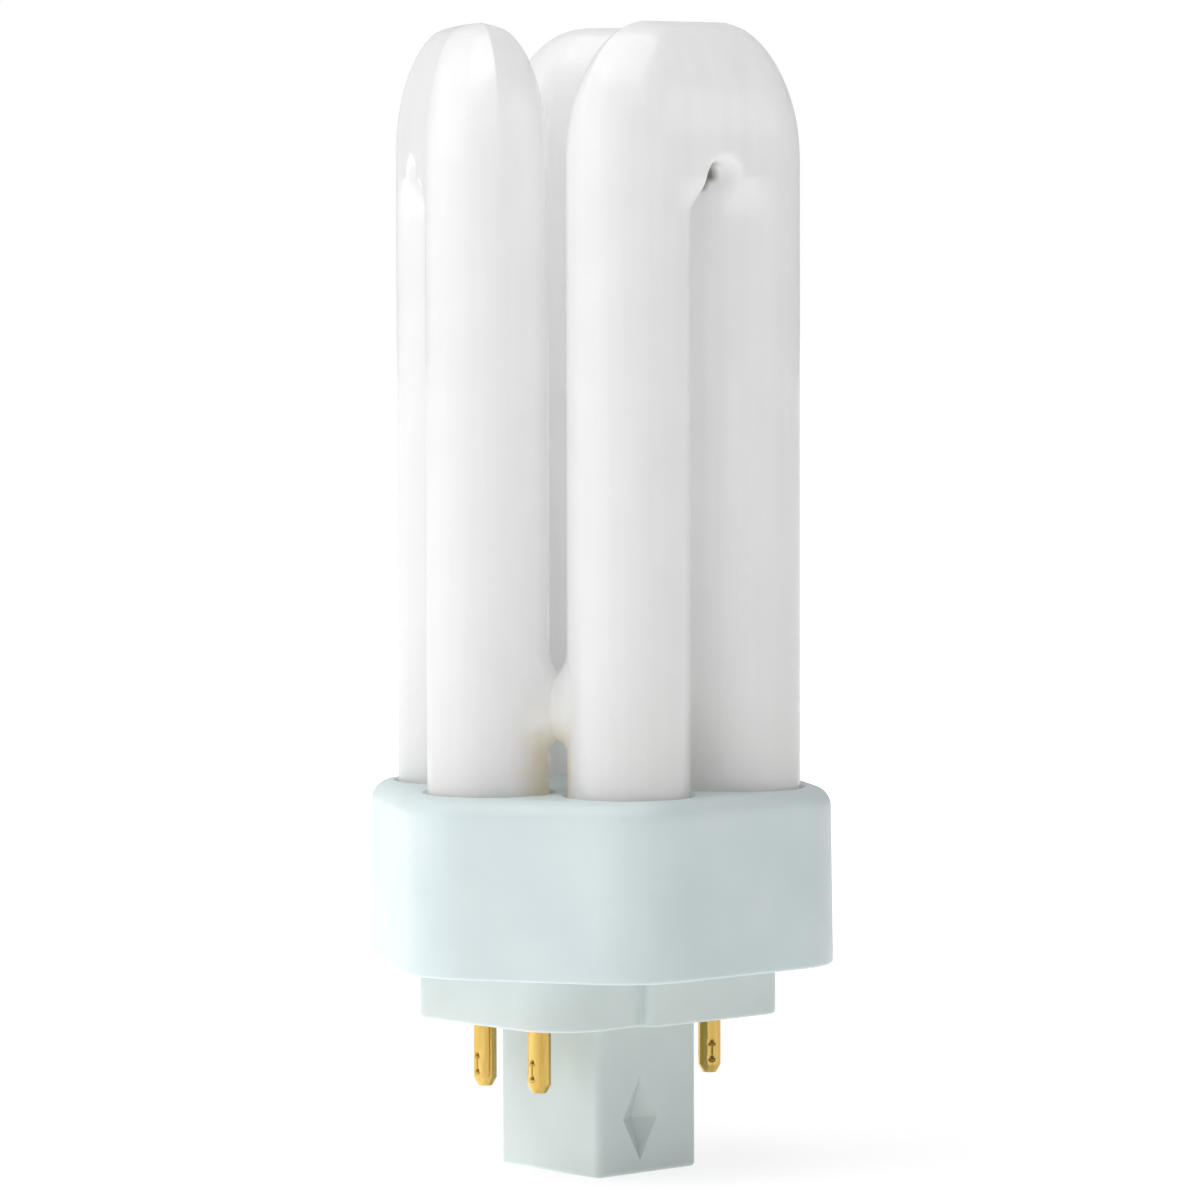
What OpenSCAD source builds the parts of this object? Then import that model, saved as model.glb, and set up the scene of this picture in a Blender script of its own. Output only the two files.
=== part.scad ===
// Four pin compact fluorescent lamp: three bent glass tubes, joined into one
// discharge path, stand on a six sided housing that is closed by a moulded cap
// with a keyed base plate, a rectangular post and four contact pins.
// +Z is up along the tubes. The origin is the centre of the post's end face.
// X runs along the long side of the pin pattern, and -Y is the keyed front.

/* [Tubes] */
// Outside diameter of the glass tube
tube_d = 12; // [11:0.1:12.6]
// Width of the slot between the two limbs of one bent tube
limb_gap = 2.9; // [2.6:0.1:3.6]
// Gap between neighbouring bent tubes
tube_gap = 2.37; // [1.8:0.01:3.2]
// Height of the tubes above the housing's deck
tube_h = 75.1; // [55:0.1:140]
// Height of the closed head above the slot between the limbs
head_h = 14.3; // [12:0.1:20]
// Width of the rounding at each shoulder of the head
shoulder_w = 8.6; // [5:0.1:10]
// Height of the rounding at each shoulder of the head
shoulder_h = 10.4; // [6:0.1:12]
// Height over which the head narrows to its crest
crest_taper = 13; // [6:0.1:14]
// Thickness of the crest
crest_t = 1.8; // [1:0.1:5]
// Thickness of the web where the slot begins
waist_t = 6; // [4:0.1:8]
// Height of the bridges' centre line above the deck
bridge_z = 8; // [6:0.1:30]
// Diameter of the bridges between neighbouring tubes
bridge_d = 5.4; // [4:0.1:7]
// Length of a limb's closed foot below the deck
foot_drop = 11.2; // [10:0.1:12.5]
// Length of the flattened seal on the two ends that carry wires
pinch_h = 5; // [4:0.1:7]
// Thickness of the flattened seal
pinch_t = 2.6; // [2:0.1:4]
// How far the flattened seal ends below the other feet
pinch_drop = 1; // [0:0.1:1.5]
// Diameter of the exhaust tip
exhaust_d = 2.8; // [2:0.1:4]
// Length of the exhaust tip below its foot
exhaust_h = 2.2; // [1:0.1:3]

/* [Housing] */
// Distance from a bent tube's glass to the side of the housing that faces it
margin_near = 2.7; // [2.6:0.1:5]
// Distance from the glass to the sides between two bent tubes
margin_far = 3.35; // [2.6:0.05:5]
// Radius of the six upright corners
corner_r = 8.6; // [5:0.1:11]
// Height of the housing
housing_h = 17.5; // [16:0.1:24]
// Radius of the edge round the deck
deck_edge_r = 2.2; // [0.5:0.1:2.2]
// Thickness of the deck
deck_t = 2; // [1.2:0.1:3]
// Thickness of the housing's wall
wall_t = 2; // [1.9:0.1:2.4]
// Thickness of the rim round the cap
rim_t = 1.2; // [0.8:0.1:1.5]
// Gap between the rim and the cap
rim_gap = 0.1; // [0.05:0.01:0.2]
// Radial width of the sealant between a tube and its collar
sealant_t = 0.3; // [0.2:0.05:0.35]
// Thickness of the collars under the deck
collar_t = 1; // [0.9:0.1:1]
// Length of the collars under the deck
collar_h = 5; // [2:0.1:6]
// How far the sealant stays below the deck's top
sealant_drop = 0.3; // [0.1:0.05:1]
// Thickness of the ribs between the collars and the wall
rib_t = 1; // [0.8:0.1:1.6]

/* [Cap] */
// Length of the base plate
plate_l = 29; // [28:0.1:32]
// Width of the base plate over its keyed sides
plate_w = 23.2; // [22:0.1:25]
// Height of the base plate
plate_h = 5.7; // [4:0.1:8]
// Depth of the key step in each long side
key_step = 1.4; // [0.5:0.1:2]
// Distance of the key step from the middle
key_x = 3.6; // [2:0.1:5]
// Radius of the two large corners
corner_large_r = 6; // [3:0.1:7]
// Radius of the two small corners
corner_small_r = 2; // [1:0.1:3]
// Radius of the key step's outer corner
key_r = 1.6; // [0.8:0.1:2.2]
// Thickness of the flange inside the housing's rim
flange_t = 1.8; // [1.2:0.1:2.5]
// Thickness of the cap's outer walls
cap_wall = 1.5; // [1:0.1:2]
// Thickness of the base plate's floor
floor_t = 1.8; // [1.2:0.1:2.5]
// Diameter of the bosses round the pins
boss_d = 4.8; // [4:0.1:5.5]

/* [Post] */
// Width of the post along X
post_w = 13.4; // [12:0.1:15]
// Width of the post along Y
post_d = 14.6; // [13:0.1:16]
// Length of the post below the base plate
post_h = 15; // [12:0.1:20]
// Radius of the post's upright edges
post_corner_r = 0.8; // [0.6:0.1:2]
// Width of the bevel round the post's end
post_edge_r = 0.4; // [0.2:0.1:0.5]
// Width of the catch recess
catch_w = 4.6; // [3:0.1:6]
// Height of the catch recess
catch_h = 8.2; // [5:0.1:9]
// Depth of the catch recess
catch_depth = 0.7; // [0.4:0.05:0.9]
// Height of the catch recess's middle above the post's end
catch_z = 5.5; // [4.5:0.1:7]
// Sideways distance of the catch recess from the post's middle
catch_x = 1.1; // [0:0.1:2]

/* [Pins] */
// Diameter of a contact pin
pin_d = 2.3; // [2:0.05:2.5]
// Length of a pin outside the base plate
pin_l = 6.35; // [5:0.05:8]
// Distance between the pin rows, along X
pin_pitch_x = 23; // [22.6:0.1:23.4]
// Distance between the two pins of a row, along Y
pin_pitch_y = 8; // [7:0.1:8.4]
// Height of the taper at the pin's end
pin_taper_h = 0.8; // [0.4:0.05:1.2]
// Diameter of the pin's flat end
pin_tip_d = 1.5; // [1:0.05:1.8]
// How far the pin's shank inside the cap stands out beyond its outer part
shank_step = 0.05; // [0.02:0.01:0.15]
// Diameter of the pin's bore
pin_bore_d = 1.2; // [0.8:0.05:1.4]
// Diameter of the collar on the flange
pin_head_d = 3.3; // [2.8:0.1:4]
// Height of the collar on the flange
pin_head_h = 0.6; // [0.4:0.1:1]
// Clearance round a pin in its hole
pin_gap = 0.03; // [0.01:0.01:0.1]
// Diameter of a crimp mark
crimp_d = 1; // [0.6:0.1:1.2]
// Depth of a crimp mark
crimp_depth = 0.3; // [0.1:0.05:0.4]
// Height of the lower crimp mark above the pin's end
crimp_low = 1.55; // [1:0.05:2]
// Height of the upper crimp mark above the pin's end
crimp_high = 3.1; // [2.6:0.05:4]
// Width of the seam that joins the crimp marks
seam_w = 0.25; // [0.1:0.05:0.4]
// Height above the pin's end up to which the crimp closes the bore
crimp_close = 4; // [3.8:0.05:4.5]

/* [Wires] */
// Diameter of a lead wire
wire_d = 0.5; // [0.3:0.05:0.7]
// Distance between the two wires at a seal
wire_pitch = 3; // [2:0.1:5]
// Height of the wires above the pins' collars
wire_rise = 0.8; // [0.6:0.05:1.2]

/* [Hidden] */
$fn = 64;

// Levels
seat_z = post_h;
rim_z = seat_z + plate_h;
flange_z = rim_z + flange_t;
deck_z = rim_z + housing_h;
top_z = deck_z + tube_h;
slot_z = top_z - head_h;
collar_z = deck_z - deck_t - collar_h;
foot_z = deck_z - foot_drop;
pinch_z = foot_z - pinch_drop;
pin_end_z = seat_z - pin_l;
pin_top_z = flange_z + pin_head_h;
pin_shank_d = pin_d + 2 * shank_step;
wire_z = pin_top_z + wire_rise;
// How much thicker than the wire its bends are
bend_swell = 1.08;
// How far a cut or a joined end runs past the face it meets
past = 1;

// Tube layout: each bent tube is turned by a third of a turn from the last
tube_r = tube_d / 2;
half_pitch = (tube_d + limb_gap) / 2;
// Length of the chord between neighbouring tubes, and from it the distance from
// the axis to the plane of each bent tube and to the chord's middle
chord_l = tube_d + tube_gap;
u_offset = (chord_l + half_pitch) / (2 * sin(60));
chord_y = u_offset * cos(60) + half_pitch * sin(60);
side_near = u_offset + tube_r + margin_near;
side_far = chord_y + tube_r + margin_far;
u_turns = [0, -120, -240];
function turned(x, y, a) = [x * cos(a) - y * sin(a), x * sin(a) + y * cos(a)];
limb_spots = [for (a = u_turns) for (s = [-1, 1]) turned(s * half_pitch, -u_offset, a)];
// The far limb of the second tube and the near limb of the third carry wires
pinch_limbs = [2, 5];
exhaust_limb = 1;

// Pins: X and Y of each, and the side its crimp marks face
pin_spots = [
  [-pin_pitch_x / 2, pin_pitch_y / 2],
  [-pin_pitch_x / 2, -pin_pitch_y / 2],
  [pin_pitch_x / 2, -pin_pitch_y / 2],
  [pin_pitch_x / 2, pin_pitch_y / 2]
];
crimp_turns = [194, 194, 242, 14];

// Housing outline: corner centres of a hexagon whose sides alternate between
// two distances from the axis, drawn in by the corner radius and by an inset
hex_sides = [for (i = [0:5]) i % 2 == 0 ? side_near : side_far];
function hex_corner(i, r) =
  let (h1 = hex_sides[i] - r, h2 = hex_sides[(i + 1) % 6] - r)
  let (a = -90 + 60 * i)
  let (along = (h2 - h1 * cos(60)) / sin(60))
  [h1 * cos(a) - along * sin(a), h1 * sin(a) + along * cos(a)];
hex_centres = [for (i = [0:5]) hex_corner(i, corner_r)];

// Flat convex outline with corners of radius r round the given centres, which
// run anticlockwise. Its sides lie side_ease inside the corners, to cross them
side_ease = 0.02;
module soft_outline(centres, r) {
  n = len(centres);
  polygon([for (i = [0:n - 1]) for (a = [side_angle(centres, i - 1), side_angle(centres, i)])
    centres[i] + (r - side_ease) * [cos(a), sin(a)]]);
  for (c = centres) translate(c) circle(r);
}

// Outward direction of the side that runs from centre i to the next one
function side_angle(centres, i) =
  let (n = len(centres), d = centres[(i + 1) % n] - centres[(i + n) % n])
  atan2(d.y, d.x) - 90;

// Upright corner of the housing, with a rounded top edge
module corner_post(h) {
  rotate_extrude($fn = 48) {
    square([corner_r, h - deck_edge_r]);
    square([corner_r - deck_edge_r, h]);
    translate([corner_r - deck_edge_r, h - deck_edge_r]) circle(deck_edge_r, $fn = 32);
  }
}

module hex_slab(z, h, inset = 0) {
  translate([0, 0, z]) linear_extrude(h) soft_outline(hex_centres, corner_r - inset);
}

// One limb: a straight tube with a domed foot
module limb() {
  rotate_extrude() {
    translate([0, foot_z + tube_r]) square([tube_r, slot_z + past - foot_z - tube_r]);
    translate([0, foot_z + tube_r]) intersection() {
      circle(tube_r);
      translate([0, -tube_r]) square(tube_r);
    }
  }
}

// One limb whose end is pressed flat round the wires
module pinched_limb(a) {
  pressed = foot_z + pinch_h;
  intersection() {
    translate([0, 0, pinch_z]) cylinder(r = tube_r, h = slot_z + past - pinch_z);
    rotate([0, 0, a]) rotate([90, 0, 0]) translate([0, 0, -tube_d])
      linear_extrude(2 * tube_d) polygon([
        [-pinch_t / 2, pinch_z - past], [pinch_t / 2, pinch_z - past],
        [pinch_t / 2, pressed], [tube_r + past, pressed + tube_r],
        [tube_r + past, top_z], [-tube_r - past, top_z],
        [-tube_r - past, pressed + tube_r], [-pinch_t / 2, pressed]
      ]);
  }
}

// Head of a bent tube, lofted through flat sections from the slot to the crest
head_levels = 13;
head_arc = 12;
web_steps = 10;
// The loft's chords lie just outside the round limbs that end inside it
loft_ease = 0.02;
head_r = tube_r / cos(90 / head_arc) + loft_ease;
// Share of the head's height over which the web grows to full thickness
web_rise = 0.28;
// Clearance between the arch over the slot and the limbs beside it
arch_gap = 0.2;
function rounding(z, h) = z <= head_h - h ? 1 : sqrt(max(0, 1 - pow((z - head_h + h) / h, 2)));
function head_half_l(z) = half_pitch + head_r - shoulder_w * (1 - rounding(z, shoulder_h));
function head_half_t(z) = crest_t / 2 + (head_r - crest_t / 2) * rounding(z, crest_taper);
function head_end(z) = head_r * head_half_l(z) / (half_pitch + head_r);
// Share of the full thickness that the web has between the limbs
function web_share(z) =
  let (t = min(1, z / (head_h * web_rise)))
  waist_t / tube_d + (1 - waist_t / tube_d) * t * t * (3 - 2 * t);
function web_half_t(u, z) =
  let (e = head_end(z), mid = head_half_l(z) - e, d = (mid - abs(u)) / e)
  head_half_t(z) * max(web_share(z), d < 1 ? sqrt(1 - d * d) : 0);
function section_half(z) =
  let (t = head_half_t(z), e = head_end(z), mid = head_half_l(z) - e)
  concat(
    [for (i = [0:head_arc / 2]) let (a = 180 * i / head_arc) [mid + e * cos(a), t * sin(a), z]],
    [for (i = [1:web_steps - 1]) let (u = mid * (1 - 2 * i / web_steps)) [u, web_half_t(u, z), z]],
    [for (i = [0:head_arc / 2]) let (a = 90 + 180 * i / head_arc) [e * cos(a) - mid, t * sin(a), z]]
  );
function head_section(z) =
  let (h = section_half(z))
  concat(h, [for (j = [len(h) - 2:-1:1]) [h[j].x, -h[j].y, z]]);

// Triangles that close a ring of n points that is the same on both sides
function ring_lid(n) = concat(
  [for (j = [0:n / 2 - 2]) [j, j + 1, n - j - 1]],
  [for (j = [1:n / 2 - 1]) [j, n - j - 1, n - j]]
);

module head() {
  rings = [for (i = [0:head_levels]) head_section(head_h * sin(90 * i / head_levels))];
  n = len(rings[0]);
  top = head_levels * n;
  points = [for (ring = rings) for (p = ring) p];
  sides = [for (i = [0:head_levels - 1]) for (j = [0:n - 1])
    let (a = i * n + j, b = i * n + (j + 1) % n)
    for (face = [[a, a + n, b + n], [a, b + n, b]]) face];
  difference() {
    polyhedron(points = points, faces = concat(
      sides,
      ring_lid(n),
      [for (f = ring_lid(n)) [f[2] + top, f[1] + top, f[0] + top]]
    ), convexity = 4);
    rotate([90, 0, 0]) cylinder(r = half_pitch - tube_r - arch_gap, h = tube_d, center = true);
  }
}

// Waisted neck through which two neighbouring tubes meet. Its flared ends lie
// inside the round limbs, bridge_bite of their radius out from their middle.
// Its hollow is bridge_flare times as round as the neck's half is long
bridge_bite = 0.8;
bridge_flare = 1.25;
module bridge() {
  reach = chord_l / 2 - bridge_bite * tube_r;
  curve = bridge_flare * reach;
  rotate([0, 90, 0]) rotate_extrude() difference() {
    translate([0, -reach]) square([bridge_d / 2 + curve, 2 * reach]);
    translate([bridge_d / 2 + curve, 0]) circle(curve);
  }
}

module discharge_vessel() {
  color([0.95, 0.95, 0.93]) {
    for (i = [0:5]) translate(limb_spots[i]) {
      if (search(i, pinch_limbs)) pinched_limb(0);
      else limb();
    }
    for (a = u_turns) rotate([0, 0, a]) translate([0, -u_offset, slot_z]) head();
    for (a = [-60, 60]) rotate([0, 0, a]) translate([0, -chord_y, deck_z + bridge_z]) bridge();
    translate([limb_spots[exhaust_limb].x, limb_spots[exhaust_limb].y, foot_z - exhaust_h])
      cylinder(d = exhaust_d, h = exhaust_h + tube_r);
  }
}

module housing() {
  hole_r = tube_r + sealant_t;
  color([0.84, 0.89, 0.88]) difference() {
    union() {
      difference() {
        hull() for (c = hex_centres) translate([c.x, c.y, rim_z]) corner_post(housing_h);
        hex_slab(rim_z - past, flange_t + past, rim_t);
        hex_slab(flange_z - flange_t / 2, deck_z - deck_t - flange_z + flange_t / 2, wall_t);
      }
      for (p = limb_spots) translate([p.x, p.y, collar_z])
        cylinder(r = hole_r + collar_t, h = collar_h + deck_t / 2);
      for (i = [0:5]) rotate([0, 0, 60 * i]) translate([-rib_t / 2, -side_near + wall_t / 2, collar_z])
        cube([rib_t, side_near - u_offset, collar_h + deck_t / 2]);
    }
    for (p = limb_spots) translate([p.x, p.y, collar_z - past])
      cylinder(r = hole_r, h = deck_z - collar_z + 2 * past);
  }
}

// Flat outline of the base plate: the same after half a turn, with two large
// corners, two small ones and a key step in each long side
module corner_cut(x, y, r, a) {
  translate([x, y]) rotate(a) difference() {
    translate([-r, -r]) square(r + past);
    translate([-r, -r]) circle(r);
  }
}

module plate_outline(inset = 0) {
  hx = plate_l / 2 - inset;
  hy = plate_w / 2 - inset;
  kx = key_x - inset;
  ky = hy - key_step;
  difference() {
    polygon([
      [-hx, -ky], [-kx, -ky], [-kx, -hy], [hx, -hy],
      [hx, ky], [kx, ky], [kx, hy], [-hx, hy]
    ]);
    for (a = [0, 180]) rotate(a) {
      corner_cut(hx, ky, corner_large_r - inset, 0);
      corner_cut(-hx, hy, corner_small_r - inset, 90);
      corner_cut(kx, hy, key_r, 0);
    }
  }
}

// Four sided pyramid that cuts the catch recess into the post's front
module catch_cut() {
  w = catch_w / 2 * (1 + past / catch_depth);
  h = catch_h / 2 * (1 + past / catch_depth);
  translate([-catch_x, -post_d / 2, catch_z]) polyhedron(
    points = [[-w, -past, 0], [0, -past, h], [w, -past, 0], [0, -past, -h], [0, catch_depth, 0]],
    faces = [[0, 1, 2, 3], [1, 0, 4], [2, 1, 4], [3, 2, 4], [0, 3, 4]]
  );
}

// Post with round upright edges, a bevel round its end and a catch each side
module post() {
  difference() {
    linear_extrude(flange_z) difference() {
      square([post_w, post_d], center = true);
      for (a = [0:3]) {
        size = a % 2 == 0 ? [post_w, post_d] : [post_d, post_w];
        rotate(90 * a) corner_cut(size.x / 2, size.y / 2, post_corner_r, 0);
      }
    }
    for (a = [0:3]) {
      reach = (a % 2 == 0 ? post_w : post_d) / 2;
      rotate(90 * a) translate([reach, 0, 0]) rotate([0, 45, 0])
        cube([post_edge_r * sqrt(2), 2 * post_d, post_edge_r * sqrt(2)], center = true);
    }
    for (a = [0, 180]) rotate(a) catch_cut();
  }
}

module cap() {
  color([0.78, 0.83, 0.81]) difference() {
    union() {
      difference() {
        union() {
          translate([0, 0, seat_z]) linear_extrude(plate_h) plate_outline();
          hex_slab(rim_z, flange_t, rim_t + rim_gap);
        }
        translate([0, 0, seat_z + floor_t]) linear_extrude(flange_z) plate_outline(cap_wall);
      }
      post();
      for (p = pin_spots) translate([p.x, p.y, seat_z])
        cylinder(d = boss_d, h = flange_z - seat_z);
    }
    translate([-post_w / 2 + cap_wall, -post_d / 2 + cap_wall, cap_wall])
      cube([post_w - 2 * cap_wall, post_d - 2 * cap_wall, flange_z]);
    for (p = pin_spots) translate([p.x, p.y, seat_z - past])
      cylinder(d = pin_shank_d + 2 * pin_gap, h = flange_z);
  }
}

// Hollow pin with a tapered closed end, a collar on the flange and a crimp
module contact_pin(i) {
  spot = pin_spots[i];
  color([0.8, 0.62, 0.28]) translate([spot.x, spot.y, pin_end_z]) difference() {
    union() {
      cylinder(d1 = pin_tip_d, d2 = pin_d, h = pin_taper_h);
      translate([0, 0, pin_taper_h]) cylinder(d = pin_d, h = pin_l - pin_taper_h);
      translate([0, 0, pin_l]) cylinder(d = pin_shank_d, h = pin_top_z - seat_z);
      translate([0, 0, flange_z - pin_end_z]) cylinder(d = pin_head_d, h = pin_head_h);
    }
    translate([0, 0, crimp_close]) cylinder(d = pin_bore_d, h = pin_top_z);
    rotate(crimp_turns[i]) {
      for (z = [crimp_low, crimp_high]) translate([pin_d / 2 + crimp_d / 2 - crimp_depth, 0, z])
        sphere(d = crimp_d);
      translate([pin_d / 2 - crimp_depth / 2, -seam_w / 2, crimp_low])
        cube([crimp_depth, seam_w, crimp_high - crimp_low]);
    }
  }
}

// Round wire along a list of points, a little thicker where it bends
module wire(points) {
  for (i = [0:len(points) - 2]) {
    d = points[i + 1] - points[i];
    translate(points[i]) rotate([0, acos(d.z / norm(d)), atan2(d.y, d.x)])
      cylinder(d = wire_d, h = norm(d));
  }
  for (i = [1:len(points) - 2]) translate(points[i]) sphere(d = wire_d * bend_swell);
}

// Lead wire from a flattened seal, over the cap's cavity, into its pin's bore
module lead_wire(i) {
  pin = pin_spots[i];
  side = sign(pin.x);
  seal = limb_spots[pinch_limbs[side < 0 ? 0 : 1]];
  outer = pin.y > 0 ? 1 : -1;
  x = seal.x + side * outer * wire_pitch / 2;
  color([0.6, 0.6, 0.6]) wire(concat(
    [[x, seal.y, pinch_z], [x, seal.y, wire_z]],
    outer < 0 ? [[side * boss_d, 0, wire_z]] : [],
    [[pin.x, pin.y, wire_z], [pin.x, pin.y, pin_end_z + crimp_close]]
  ));
}

// Ring of sealant between a limb and its collar
module sealant_ring(i) {
  color([0.93, 0.93, 0.9]) translate([limb_spots[i].x, limb_spots[i].y, collar_z])
    difference() {
      cylinder(r = tube_r + sealant_t, h = deck_z - sealant_drop - collar_z);
      translate([0, 0, -past]) cylinder(r = tube_r, h = deck_z);
    }
}

discharge_vessel();
housing();
cap();
for (i = [0:3]) contact_pin(i);
for (i = [0:3]) lead_wire(i);
for (i = [0:5]) sealant_ring(i);
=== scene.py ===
"""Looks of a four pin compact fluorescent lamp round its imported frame.

Three bent glass tubes, coated inside with white powder, stand on a moulded
housing. A cap with a keyed base plate, a rectangular post and four brass pins
closes it. Shapes are worked out in millimetres in the frame's own axes: +Z up,
the post's end face at z = 0, X along the long side of the pin pattern.
"""

import logging
import math
from dataclasses import dataclass, field
from enum import Enum
from typing import Any, Mapping, Optional, Sequence

import bpy
import numpy as np
from mathutils import Matrix, Vector


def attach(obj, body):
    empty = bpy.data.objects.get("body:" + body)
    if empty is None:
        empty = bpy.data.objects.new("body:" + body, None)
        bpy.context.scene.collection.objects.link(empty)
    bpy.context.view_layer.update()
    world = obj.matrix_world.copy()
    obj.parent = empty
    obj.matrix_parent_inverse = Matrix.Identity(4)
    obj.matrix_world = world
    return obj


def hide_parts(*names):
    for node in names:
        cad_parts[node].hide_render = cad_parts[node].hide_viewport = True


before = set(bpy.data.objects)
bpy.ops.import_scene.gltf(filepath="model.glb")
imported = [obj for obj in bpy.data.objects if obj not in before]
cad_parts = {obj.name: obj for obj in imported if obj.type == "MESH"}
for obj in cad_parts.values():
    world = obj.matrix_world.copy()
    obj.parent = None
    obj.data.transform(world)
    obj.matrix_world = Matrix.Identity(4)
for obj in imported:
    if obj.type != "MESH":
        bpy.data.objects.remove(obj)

MM = 0.001
Array = np.ndarray
Tree = bpy.types.NodeTree
Node = bpy.types.Node
Socket = bpy.types.NodeSocket
Material = bpy.types.Material
Piece = bpy.types.Object

# Ends of the range that noise keeps to for the most part
NOISE_LOW, NOISE_HIGH = 0.3, 0.7
log = logging.getLogger("lamp")


# Colours and shader nodes


def linear(colour: str) -> tuple[float, float, float, float]:
    """Turn an sRGB hex colour into linear light.

    Args:
        colour: "#RRGGBB".

    Returns:
        Red, green, blue and an alpha of 1.
    """
    part = np.array([int(colour[i : i + 2], 16) for i in (1, 3, 5)]) / 255.0
    part = np.where(part <= 0.04045, part / 12.92, ((part + 0.055) / 1.055) ** 2.4)
    return float(part[0]), float(part[1]), float(part[2]), 1.0


def add_node(
    tree: Tree,
    kind: str,
    inputs: Optional[Mapping[Any, Any]] = None,
    **settings: Any,
) -> Node:
    """Add one node with its settings, values and links.

    Args:
        tree: Node tree that takes the node.
        kind: Blender's name of the node type.
        inputs: Socket name or number to a value, or to a socket to link.
        **settings: Attributes of the node itself.

    Returns:
        The new node.
    """
    node = tree.nodes.new(kind)
    for name, value in settings.items():
        setattr(node, name, value)
    for key, value in (inputs or {}).items():
        if isinstance(value, Socket):
            tree.links.new(value, node.inputs[key])
        else:
            node.inputs[key].default_value = value
    return node


# Surfaces as grids of points


@dataclass(frozen=True)
class Shell:
    """One closed surface: points in mm, and its quads and triangles."""

    points: Array
    quads: Array
    tris: Array

    def volume(self) -> float:
        """Six times the signed volume, as the sum of each face's corner products."""
        a, b, c, d = (self.points[self.quads[:, i]] for i in range(4))
        total = np.einsum("ij,ij->", a, np.cross(b, c)) + np.einsum("ij,ij->", a, np.cross(c, d))
        a, b, c = (self.points[self.tris[:, i]] for i in range(3))
        return float(total + np.einsum("ij,ij->", a, np.cross(b, c)))

    def outward(self) -> "Shell":
        """The same shell with its faces turned outwards."""
        if self.volume() >= 0:
            return self
        return Shell(self.points, self.quads[:, ::-1], self.tris[:, ::-1])


def closed_shell(rings: Array) -> Shell:
    """Join rings of points into a shell, and close each end with a fan.

    Ring i and ring i + 1 are joined by quads, point by point and round the
    ring. A fan runs from each end ring to the mean of its points.

    Args:
        rings: Points in mm, of shape (rings, points in a ring, 3).

    Returns:
        The shell, faces outwards.
    """
    rows, count, _ = rings.shape
    i, j = np.meshgrid(np.arange(rows - 1), np.arange(count), indexing="ij")
    k = (j + 1) % count
    here, above = i * count, (i + 1) * count
    quads = np.stack([here + j, here + k, above + k, above + j], -1)
    first = np.arange(count)
    second, last = (first + 1) % count, (rows - 1) * count
    low = np.column_stack([second, first, np.full(count, rows * count)])
    high = np.column_stack([first + last, second + last, np.full(count, rows * count + 1)])
    points = np.vstack([rings.reshape(-1, 3), rings[0].mean(0), rings[-1].mean(0)])
    return Shell(points, quads.reshape(-1, 4), np.vstack([low, high])).outward()


def turned(points: Array, degrees: float) -> Array:
    """Turn points about the lamp's axis by an angle."""
    c, s = math.cos(math.radians(degrees)), math.sin(math.radians(degrees))
    return points @ np.array([[c, s, 0.0], [-s, c, 0.0], [0.0, 0.0, 1.0]])


def smooth(t: Array) -> Array:
    """Rise from 0 to 1 with level ends: 3 t^2 - 2 t^3 of t held within 0..1."""
    t = np.clip(t, 0.0, 1.0)
    return t * t * (3.0 - 2.0 * t)


@dataclass(frozen=True)
class Outline:
    """Closed flat outline with rounded corners, run anticlockwise.

    Attributes:
        corners: Sharp corners in mm.
        radii: Radius of each corner.
        steps: Parts that each corner's arc is divided into.
        ease: Distance from each arc of an extra point on the straight beside
            it, which keeps the straight's shading flat.
    """

    corners: Array
    radii: Array
    steps: int = 10
    ease: float = 0.04

    def rings(self, insets: Array) -> Array:
        """Outline drawn in by each inset.

        Both straights at a corner move along their inward normals, so the
        arc's centre stays: it is the corner plus the radius times the sum of
        the two normals over 1 + their product. The radius falls by the inset
        where the outline turns left, and grows by it where it turns right.

        Args:
            insets: One inset in mm for each ring.

        Returns:
            Points of shape (insets, points, 2).
        """
        before = self.corners - np.roll(self.corners, 1, axis=0)
        before = before / np.linalg.norm(before, axis=1)[:, None]
        after = np.roll(before, -1, axis=0)
        inner = np.column_stack([-before[:, 1], before[:, 0]])
        inner_next = np.column_stack([-after[:, 1], after[:, 0]])
        cross = before[:, 0] * after[:, 1] - before[:, 1] * after[:, 0]
        dot = np.sum(before * after, axis=1)
        reach = np.sign(cross) * self.radii
        centre = self.corners + (reach / (1 + dot))[:, None] * (inner + inner_next)
        start = np.arctan2(inner[:, 1], inner[:, 0])
        part = np.linspace(0, 1, self.steps + 1)
        turn = start[:, None] + np.arctan2(cross, dot)[:, None] * part
        spoke = np.stack([np.cos(turn), np.sin(turn)], -1)
        left = (reach[None, :] - insets[:, None])[:, :, None, None]
        arcs = centre[None, :, None, :] - left * spoke[None]
        entry = arcs[:, :, :1] - self.ease * before[None, :, None, :]
        leave = arcs[:, :, -1:] + self.ease * after[None, :, None, :]
        return np.concatenate([entry, arcs, leave], axis=2).reshape(len(insets), -1, 2)

    def carried(self, profile: Array) -> Shell:
        """Shell of the outline carried through a profile.

        Args:
            profile: Rows of inset and height in mm.

        Returns:
            The closed shell.
        """
        flat = self.rings(profile[:, 0])
        height = np.broadcast_to(profile[:, 1][:, None, None], flat.shape[:2] + (1,))
        return closed_shell(np.concatenate([flat, height], axis=2))


def arc_rows(
    inset: float, z: float, radius: float, start: float, stop: float, steps: int
) -> Array:
    """Profile rows on an arc: inset - r cos a, z + r sin a, for a in degrees."""
    a = np.radians(np.linspace(start, stop, steps + 1))
    return np.column_stack([inset - radius * np.cos(a), z + radius * np.sin(a)])


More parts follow.
